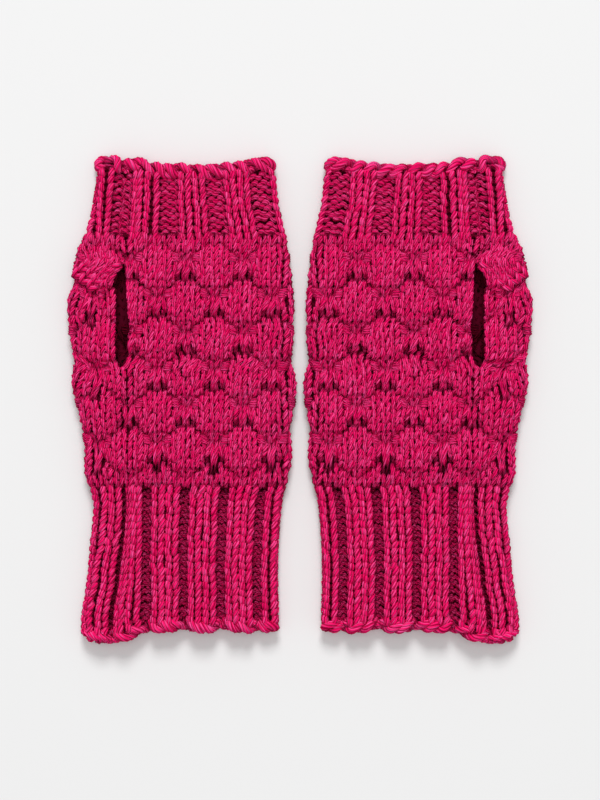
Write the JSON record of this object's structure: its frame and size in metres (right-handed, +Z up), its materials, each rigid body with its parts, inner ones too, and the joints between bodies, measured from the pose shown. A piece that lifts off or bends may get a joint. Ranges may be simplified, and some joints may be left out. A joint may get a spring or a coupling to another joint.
{
  "type": "pair of knitted wrist warmers",
  "caption": "Chunky knitted fingerless wrist warmers with ribbed ends, a bubble-stitch body and open thumb slits, laid flat as a pair.",
  "frame": {"origin": "middle of the underside of the pair's box, on the surface that the pair lies on", "axes": "+X from the left warmer to the right one as laid, +Y from the wrists to the fingers, +Z up out of the surface"},
  "size_m": [0.2108, 0.22, 0.0124],
  "materials": {
    "bubble_yarn": "deep pink chunky acrylic yarn, bubble stitch, soft sheen",
    "rib_yarn": "deep pink chunky acrylic yarn, 2 by 2 rib, soft sheen",
    "edge_yarn": "deep pink chunky acrylic yarn, chained edge, soft sheen"
  },
  "bodies": {
    "root": {"left_cast_on_front": "edge_yarn", "left_cast_on_thumb_side": "edge_yarn", "left_cast_on_back": "edge_yarn", "left_wrist_rib_front": "rib_yarn", "left_wrist_rib_thumb_side": "rib_yarn", "left_wrist_rib_back": "rib_yarn", "left_bubble_front": "bubble_yarn", "left_bubble_thumb_side": "bubble_yarn", "left_bubble_back": "bubble_yarn", "left_hand_rib_front": "rib_yarn", "left_hand_rib_thumb_side": "rib_yarn", "left_hand_rib_back": "rib_yarn", "left_bind_off_front": "edge_yarn", "left_bind_off_thumb_side": "edge_yarn", "left_bind_off_back": "edge_yarn", "right_cast_on_front": "edge_yarn", "right_cast_on_thumb_side": "edge_yarn", "right_cast_on_back": "edge_yarn", "right_wrist_rib_front": "rib_yarn", "right_wrist_rib_thumb_side": "rib_yarn", "right_wrist_rib_back": "rib_yarn", "right_bubble_front": "bubble_yarn", "right_bubble_thumb_side": "bubble_yarn", "right_bubble_back": "bubble_yarn", "right_hand_rib_front": "rib_yarn", "right_hand_rib_thumb_side": "rib_yarn", "right_hand_rib_back": "rib_yarn", "right_bind_off_front": "edge_yarn", "right_bind_off_thumb_side": "edge_yarn", "right_bind_off_back": "edge_yarn"}
  },
  "joints": []
}
